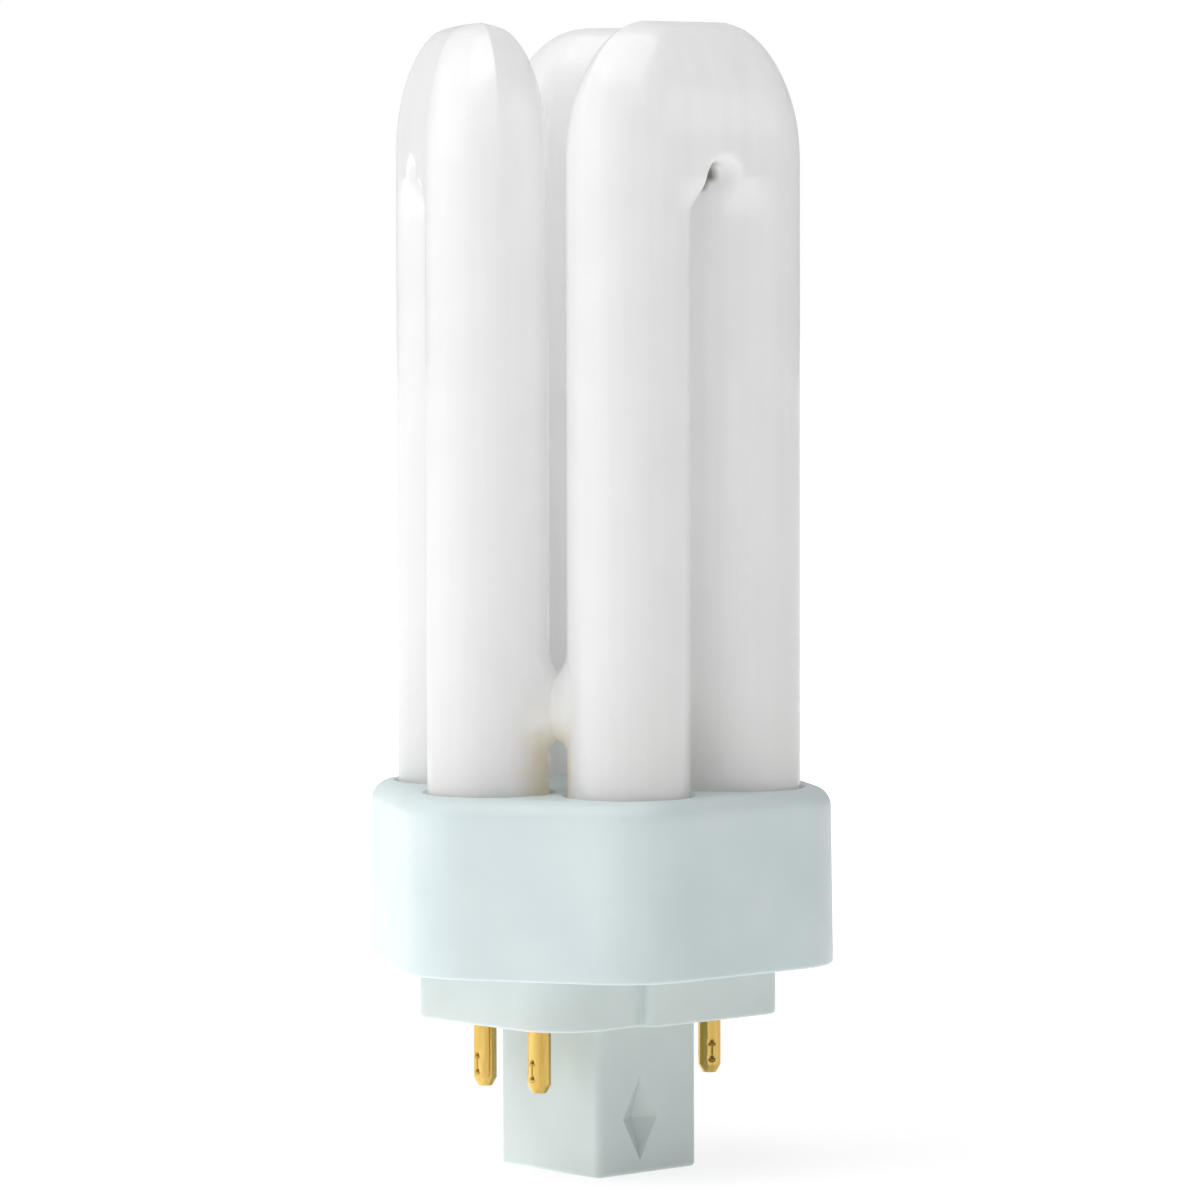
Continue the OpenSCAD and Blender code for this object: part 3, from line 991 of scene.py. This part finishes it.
@dataclass
class Housing:
    """Six sided moulded housing with a rounded deck edge and six tube holes, sizes in mm."""

    side_near: float = 21.298
    side_far: float = 22.101
    corner_r: float = 8.6
    rim_z: float = 20.7
    flange_z: float = 22.5
    deck_z: float = 38.2
    deck_t: float = 2.0
    deck_edge_r: float = 2.0
    draft: float = 0.2
    wall_t: float = 2.0
    rim_t: float = 1.2
    foot_edge_r: float = 0.3
    hole_r: float = 6.3
    hole_edge: float = 0.25
    hole_depth: float = 7.0
    sharp: float = 30.0
    finish: MouldedPlastic = field(default_factory=MouldedPlastic)

    def outline(self) -> Outline:
        """Hexagon whose sides alternate between two distances from the axis.

        Side i faces the angle 60 i - 90 degrees. Corner i lies where the
        lines of sides i and i + 1 cross.
        """
        sides = np.array([self.side_near, self.side_far] * 3)
        after = np.roll(sides, -1)
        a = np.radians(-90.0 + 60.0 * np.arange(6))
        along = (after - sides * 0.5) / math.sin(math.radians(60.0))
        x = sides * np.cos(a) - along * np.sin(a)
        y = sides * np.sin(a) + along * np.cos(a)
        corners = np.stack([x, y], -1)
        return Outline(corners, np.full(6, self.corner_r), steps=14)

    def profile(self) -> Array:
        """Rows of the wall: down inside, round the rim, up outside, over the deck's edge."""
        foot, edge = self.foot_edge_r, self.deck_edge_r
        under = self.deck_z - self.deck_t
        return np.vstack(
            [
                [[self.wall_t + 0.05, under], [self.wall_t, under]],
                [[self.wall_t, self.flange_z + 0.05]],
                [[self.wall_t, self.flange_z], [self.rim_t, self.flange_z]],
                [[self.rim_t, self.rim_z + 0.1], [self.rim_t - 0.1, self.rim_z]],
                arc_rows(foot, self.rim_z + foot, foot, -90.0, 0.0, 5),
                [[0.002, self.rim_z + foot + 0.05]],
                [[self.draft - 0.002, self.deck_z - edge - 0.05]],
                arc_rows(self.draft + edge, self.deck_z - edge, edge, 0.0, 90.0, 12),
                [[self.draft + edge + 0.05, self.deck_z]],
            ]
        )

    def build(self, spots: Array) -> Piece:
        """Make the housing with a hole for each limb.

        Args:
            spots: X and Y of the limbs, in mm.

        Returns:
            The piece.
        """
        top, low = self.deck_z, self.deck_z - self.hole_depth
        radii = np.array([self.hole_r, self.hole_r, self.hole_r + 2 * self.hole_edge])
        levels = np.array([low, top - self.hole_edge, top + self.hole_edge])
        holes = [(Join.CUT, round_shell(radii, levels, spot, 96)) for spot in spots]
        shell = self.outline().carried(self.profile())
        piece = worked(mesh_object("housing_shell", [shell]), holes)
        return dressed(piece, self.finish.material(), ["housing"], self.sharp)


@dataclass
class Cap:
    """Moulded cap: flange, keyed base plate, and a post with a catch recess on two sides."""

    seat_z: float = 15.0
    rim_z: float = 20.7
    flange_z: float = 22.5
    plate_l: float = 29.0
    plate_w: float = 23.2
    key_step: float = 1.4
    key_x: float = 3.6
    corner_large_r: float = 6.0
    corner_small_r: float = 2.0
    key_r: float = 1.1
    key_root_r: float = 0.29
    plate_edge_r: float = 0.3
    post_w: float = 13.4
    post_d: float = 14.6
    post_corner_r: float = 0.8
    post_edge_r: float = 0.4
    catch_w: float = 4.6
    catch_h: float = 8.2
    catch_depth: float = 1.15
    catch_valley: float = 0.86
    catch_lean: float = 0.22
    catch_z: float = 5.5
    catch_x: float = 1.1
    flange_inset: float = 1.3
    sharp: float = 12.0
    finish: MouldedPlastic = field(default_factory=MouldedPlastic)

    def plate_outline(self) -> Outline:
        """Base plate: half of its corners are listed, and half a turn gives the rest."""
        hx, hy, ky = self.plate_l / 2, self.plate_w / 2, self.plate_w / 2 - self.key_step
        half = np.array([[-hx, -ky], [-self.key_x, -ky], [-self.key_x, -hy], [hx, -hy]])
        radii = [self.corner_large_r, self.key_root_r, self.key_r, self.corner_small_r]
        return Outline(np.vstack([half, -half]), np.array(radii * 2), ease=0.004)

    def post_outline(self) -> Outline:
        """Rectangle with rounded upright edges."""
        hx, hy = self.post_w / 2, self.post_d / 2
        corners = np.array([[-hx, -hy], [hx, -hy], [hx, hy], [-hx, hy]])
        return Outline(corners, np.full(4, self.post_corner_r))

    def catch_cutter(self, side: int) -> Shell:
        """Tool for a diamond shaped recess with an upright valley in the post's face.

        Three rings run from outside the face through its mouth to the
        valley. Each ring has six corners: one to each side at half height,
        and a close pair above and below. The valley's ring is almost flat
        from side to side, a share of the height long, and nearer to one side
        of the mouth.
        """
        depth = np.array([-0.5, 0.0, self.catch_depth])
        across = np.array([[1.2, 0.04], [1.0, 0.03], [0.02, 0.01]]) * self.catch_w / 2
        along = np.array([1.2, 1.0, self.catch_valley]) * self.catch_h / 2
        wide, narrow = across[:, :1], across[:, 1:]
        x = np.hstack([-wide, -narrow, narrow, wide, narrow, -narrow])
        x = x - self.catch_lean * np.array([[0.0], [0.0], [1.0]])
        z = along[:, None] * np.array([0.0, 1.0, 1.0, 0.0, -1.0, -1.0])
        y = np.broadcast_to((depth - self.post_d / 2)[:, None], x.shape)
        rings = np.stack([x - self.catch_x, y, z + self.catch_z], -1)
        return closed_shell(rings * np.array([side, side, 1.0]))

    def build(self, housing: Outline) -> Piece:
        """Make the cap.

        Args:
            housing: Outline of the housing, which the flange follows.

        Returns:
            The piece.
        """
        edge, post_edge = self.plate_edge_r, self.post_edge_r
        plate = self.plate_outline().carried(
            np.vstack(
                [
                    [[edge + 0.02, self.seat_z]],
                    arc_rows(edge, self.seat_z + edge, edge, -90.0, 0.0, 10),
                    [[0.0, self.seat_z + edge + 0.05], [0.0, self.rim_z + 0.5]],
                ]
            )
        )
        post = self.post_outline().carried(
            np.vstack(
                [
                    [[post_edge + 0.03, 0.0]],
                    arc_rows(post_edge, post_edge, post_edge, -90.0, 0.0, 10),
                    [[0.0, post_edge + 0.05], [0.0, self.seat_z + 1.0]],
                ]
            )
        )
        inset = self.flange_inset
        flange = housing.carried(np.array([[inset, self.rim_z], [inset, self.flange_z]]))
        tools = [(Join.ADD, flange), (Join.ADD, post)]
        tools += [(Join.CUT, self.catch_cutter(side)) for side in (1, -1)]
        piece = worked(mesh_object("cap_moulding", [plate]), tools)
        return dressed(piece, self.finish.material(), ["cap"], self.sharp)


# The contact pins


@dataclass
class ContactPins:
    """Four hollow brass pins, each with a tapered end, a crimp and a collar inside the cap."""

    pitch_x: float = 23.0
    pitch_y: float = 8.0
    radius: float = 1.15
    length: float = 6.35
    taper_h: float = 0.8
    tip_r: float = 0.75
    tip_edge_r: float = 0.12
    shank_r: float = 1.2
    head_r: float = 1.65
    head_h: float = 0.6
    crimp_r: float = 0.24
    crimp_depth: float = 0.24
    crimp_heights: tuple[float, ...] = (1.55, 3.1)
    seam_half: float = 0.13
    seam_depth: float = 0.13
    crimp_turns: tuple[float, ...] = (182.0, 187.0, 240.0, 7.0)
    seam_fade: float = 0.3
    marked_h: float = 4.2
    marked_rows: int = 58
    around: int = 96
    sharp: float = 40.0
    finish: DrawnBrass = field(default_factory=DrawnBrass)

    def spots(self) -> Array:
        """X and Y of the pins, in the order of their nodes."""
        signs = np.array([[-1, 1], [-1, -1], [1, -1], [1, 1]])
        return signs * np.array([self.pitch_x, self.pitch_y]) / 2

    def dents(self, angle: Array, z: Array, turn: float) -> Array:
        """Depth of the crimp marks.

        Each mark is a bell, depth times exp(-(d / r)^2), of the distance d on
        the pin's surface. A seam of the same form across the pin joins them.

        Args:
            angle: Angle round the pin in radians.
            z: Height above the pin's end in mm.
            turn: Direction that the marks face, in degrees.

        Returns:
            Depth in mm for each row and angle.
        """
        across = self.radius * ((angle - math.radians(turn) + np.pi) % (2 * np.pi) - np.pi)
        marks = [
            self.crimp_depth * np.exp(-(across**2 + (z - level) ** 2) / self.crimp_r**2)
            for level in self.crimp_heights
        ]
        low, high = self.crimp_heights
        inside = smooth((z - low) / self.seam_fade) * smooth((high - z) / self.seam_fade)
        seam = self.seam_depth * np.exp(-((across / self.seam_half) ** 2)) * inside
        return np.maximum.reduce(marks + [seam])

    def build(self, seat_z: float, flange_z: float) -> list[Piece]:
        """Make the pins.

        Args:
            seat_z: Height of the base plate's underside in mm.
            flange_z: Height of the flange's upper face.

        Returns:
            The four pieces.
        """
        material = self.finish.material()
        angle = np.linspace(0, 2 * np.pi, self.around, endpoint=False)
        tip = arc_rows(0.0, self.tip_edge_r, self.tip_edge_r, -90.0, -30.0, 4)
        straight = np.linspace(self.taper_h + 0.1, self.marked_h, self.marked_rows)
        shoulder = [self.taper_h - 0.03, self.taper_h + 0.03]
        z = np.concatenate([tip[:, 1], shoulder, straight])
        point = self.tip_r - self.tip_edge_r - tip[:, 0]
        bend = [self.radius - 0.025, self.radius]
        r = np.concatenate([point, bend, np.full(self.marked_rows, self.radius)])
        body, above = self.length, flange_z - seat_z
        head = body + above
        z = np.append(z, [body - 0.01, body, head - 0.01, head, head + self.head_h])
        r = np.append(r, [self.radius, self.shank_r, self.shank_r, self.head_r, self.head_r])
        pins = []
        for i, (spot, turn) in enumerate(zip(self.spots(), self.crimp_turns)):
            dent = self.dents(angle[None, :], z[:, None], turn)
            shell = round_shell(r[:, None] - dent, z + seat_z - body, spot, self.around)
            pin = mesh_object(f"brass_pin_{i + 1}", [shell])
            mark = pin.data.attributes.new("dent", "FLOAT", "POINT")
            values = np.append(dent.ravel(), [0.0, 0.0]).astype(np.float32)
            mark.data.foreach_set("value", values)
            pins.append(dressed(pin, material, [f"contact_pin_{i + 1}"], self.sharp))
        return pins


# The photo's studio


@dataclass(frozen=True)
class SoftBox:
    """Square area lamp that faces the lamp's middle.

    Attributes:
        name: Name of the lamp.
        azimuth: Degrees from the camera's side: 0 stands at the camera, and
            negative angles stand to its left.
        elevation: Degrees above the horizon.
        distance: Distance in metres.
        size: Side in metres.
        power: Power in watts.
    """

    name: str
    azimuth: float
    elevation: float
    distance: float
    size: float
    power: float


@dataclass
class Studio:
    """Pale floor, white surroundings, soft lamps and the camera."""

    azimuth: float = -42.6
    distance_mm: float = 645.2
    height_mm: float = 94.5
    pitch: float = 3.38
    roll: float = -0.13
    side_mm: float = 0.29
    lens_mm: float = 195.4
    middle_mm: float = 60.0
    bright_azimuth: float = -125.0
    ambient_low: float = 0.25
    ambient_high: float = 0.63
    floor_colour: str = "#F2F2F2"
    floor_gap_mm: float = 0.02
    glow_low: float = 0.4
    glow_high: float = 0.82
    shade: float = 0.3
    near_m: float = 0.08
    far_m: float = 0.35
    near_level: float = 0.76
    half_floor_m: float = 3.0
    boxes: tuple[SoftBox, ...] = (
        SoftBox("key_left", -76.0, 34.0, 0.9, 1.0, 3.1),
        SoftBox("fill_right", 80.0, 16.0, 1.1, 0.3, 0.4),
        SoftBox("top", -20.0, 74.0, 1.1, 1.1, 7.4),
    )

    def camera(self) -> Piece:
        """Make the camera from its measured place and make it the scene's."""
        a, p = math.radians(self.azimuth), math.radians(self.pitch)
        right = Vector((math.cos(a), math.sin(a), 0.0))
        level = Vector((-math.sin(a), math.cos(a), 0.0))
        ahead = level * math.cos(p) - Vector((0.0, 0.0, math.sin(p)))
        up = right.cross(ahead)
        raised = Vector((0, 0, self.height_mm))
        place = (right * self.side_mm - level * self.distance_mm + raised) * MM
        data = bpy.data.cameras.new("photo_camera")
        data.lens, data.sensor_width, data.sensor_fit = self.lens_mm, 36.0, "HORIZONTAL"
        data.clip_start, data.clip_end = 0.05, 50.0
        camera = bpy.data.objects.new("photo_camera", data)
        frame_axes = Matrix((right, up, -ahead)).transposed().to_4x4()
        spin = Matrix.Rotation(math.radians(self.roll), 4, "Z")
        camera.matrix_world = Matrix.Translation(place) @ frame_axes @ spin
        bpy.context.scene.collection.objects.link(camera)
        bpy.context.scene.camera = camera
        return camera

    def lamps(self) -> None:
        """Place the soft boxes round the lamp's middle."""
        middle = Vector((0.0, 0.0, self.middle_mm * MM))
        for box in self.boxes:
            a, e = math.radians(self.azimuth + box.azimuth), math.radians(box.elevation)
            back = Vector((math.sin(a) * math.cos(e), -math.cos(a) * math.cos(e), math.sin(e)))
            data = bpy.data.lights.new(box.name, "AREA")
            data.shape, data.size, data.energy = "SQUARE", box.size, box.power
            lamp = bpy.data.objects.new(box.name, data)
            lamp.location = middle + back * box.distance
            lamp.rotation_mode = "QUATERNION"
            lamp.rotation_quaternion = back.to_track_quat("Z", "Y")
            bpy.context.scene.collection.objects.link(lamp)

    def seen_share(self, tree: Tree) -> Socket:
        """1 for rays that show the background: from the camera and through glass."""
        path = add_node(tree, "ShaderNodeLightPath")
        both = add_node(
            tree,
            "ShaderNodeMath",
            {0: path.outputs["Is Camera Ray"], 1: path.outputs["Is Transmission Ray"]},
            operation="MAXIMUM",
        )
        return both.outputs[0]

    def graded(
        self, tree: Tree, direction: Socket, low: float, high: float
    ) -> Socket:
        """Level of light that comes from a direction.

        Args:
            tree: The tree of the world or the floor.
            direction: Direction of length 1 from the lamp.
            low: Level on the dim side.
            high: Level on the bright side.

        Returns:
            The level.
        """
        a = math.radians(self.azimuth + self.bright_azimuth)
        towards = add_node(
            tree,
            "ShaderNodeVectorMath",
            {0: direction, 1: (math.sin(a), -math.cos(a), 0.0)},
            operation="DOT_PRODUCT",
        )
        level = add_node(
            tree,
            "ShaderNodeMapRange",
            {0: towards.outputs["Value"], 1: -0.7, 2: 0.9, 3: low, 4: high},
            interpolation_type="SMOOTHSTEP",
        )
        return level.outputs[0]

    def surroundings(self) -> None:
        """White world to look at, and a light that is stronger from one side."""
        world = bpy.data.worlds.new("studio")
        world.use_nodes = True
        bpy.context.scene.world = world
        tree = world.node_tree
        tree.nodes.clear()
        where = add_node(tree, "ShaderNodeTexCoord")
        level = self.graded(tree, where.outputs["Generated"], self.ambient_low, self.ambient_high)
        light = add_node(tree, "ShaderNodeBackground", {0: linear("#FFFFFF"), 1: level})
        white = add_node(tree, "ShaderNodeBackground", {0: linear("#FFFFFF"), 1: 1.0})
        both = {0: self.seen_share(tree), 1: light.outputs[0], 2: white.outputs[0]}
        mix = add_node(tree, "ShaderNodeMixShader", both)
        add_node(tree, "ShaderNodeOutputWorld", {0: mix.outputs[0]})

    def floor(self) -> Piece:
        """Floor just under the post's end: diffuse and matt, with the lamp's shadow.

        It glows in white, more so on the bright side. Where it is looked at
        it is nearly white, a little darker close to the lamp.
        """
        material = bpy.data.materials.new("studio_floor")
        material.use_nodes = True
        tree = material.node_tree
        tree.nodes.clear()
        place = add_node(tree, "ShaderNodeTexCoord")
        paper = add_node(tree, "ShaderNodeBsdfDiffuse", {0: linear(self.floor_colour)})
        outwards = add_node(
            tree, "ShaderNodeVectorMath", {0: place.outputs["Object"]}, operation="NORMALIZE"
        )
        share = self.graded(tree, outwards.outputs[0], self.glow_low, self.glow_high)
        lit = add_node(tree, "ShaderNodeEmission", {0: linear("#FFFFFF"), 1: share})
        plain = add_node(tree, "ShaderNodeAddShader", {0: paper.outputs[0], 1: lit.outputs[0]})
        dim = add_node(tree, "ShaderNodeBsdfDiffuse", {0: (self.shade,) * 3 + (1.0,)})
        away = add_node(
            tree, "ShaderNodeVectorMath", {0: place.outputs["Object"]}, operation="LENGTH"
        )
        level = add_node(
            tree,
            "ShaderNodeMapRange",
            {0: away.outputs["Value"], 1: self.near_m, 2: self.far_m, 3: self.near_level, 4: 1.0},
            interpolation_type="SMOOTHSTEP",
        )
        glow = add_node(tree, "ShaderNodeEmission", {0: linear("#FFFFFF"), 1: level.outputs[0]})
        shown = add_node(tree, "ShaderNodeAddShader", {0: dim.outputs[0], 1: glow.outputs[0]})
        both = {0: self.seen_share(tree), 1: plain.outputs[0], 2: shown.outputs[0]}
        mix = add_node(tree, "ShaderNodeMixShader", both)
        add_node(tree, "ShaderNodeOutputMaterial", {0: mix.outputs[0]})
        mesh = bpy.data.meshes.new("studio_floor")
        h = self.half_floor_m
        mesh.from_pydata([(-h, -h, 0), (h, -h, 0), (h, h, 0), (-h, h, 0)], [], [(0, 1, 2, 3)])
        mesh.materials.append(material)
        floor = bpy.data.objects.new("studio_floor", mesh)
        floor.location.z = -self.floor_gap_mm * MM
        bpy.context.scene.collection.objects.link(floor)
        return floor

    def build(self) -> None:
        """Set up everything round the lamp."""
        bpy.context.scene.view_settings.view_transform = "Standard"
        self.camera()
        self.lamps()
        self.surroundings()
        self.floor()


# The whole lamp


def repaint(names: Sequence[str], material: Material) -> None:
    """Give CAD nodes that stay their finish."""
    for name in names:
        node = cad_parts[name]
        node.data.materials.clear()
        node.data.materials.append(material)
        log.info("%s: %s", name, material.name)


def main() -> None:
    """Build the lamp and its studio."""
    logging.basicConfig(level=logging.INFO, format="%(name)s %(message)s")
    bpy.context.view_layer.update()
    Studio().build()
    glass = DischargeVessel()
    glass.build()
    housing = Housing()
    housing.build(glass.limb_spots())
    cap = Cap(finish=MouldedPlastic(name="moulded_cap_plastic", pale="#CED7D5", deep="#C7D0CE"))
    cap.build(housing.outline())
    ContactPins().build(cap.seat_z, cap.flange_z)
    repaint([f"lead_wire_{i}" for i in range(1, 5)], TinnedWire().material())
    repaint([f"sealant_ring_{i}" for i in range(1, 7)], SetSealant().material())


if __name__ == "__main__":
    main()
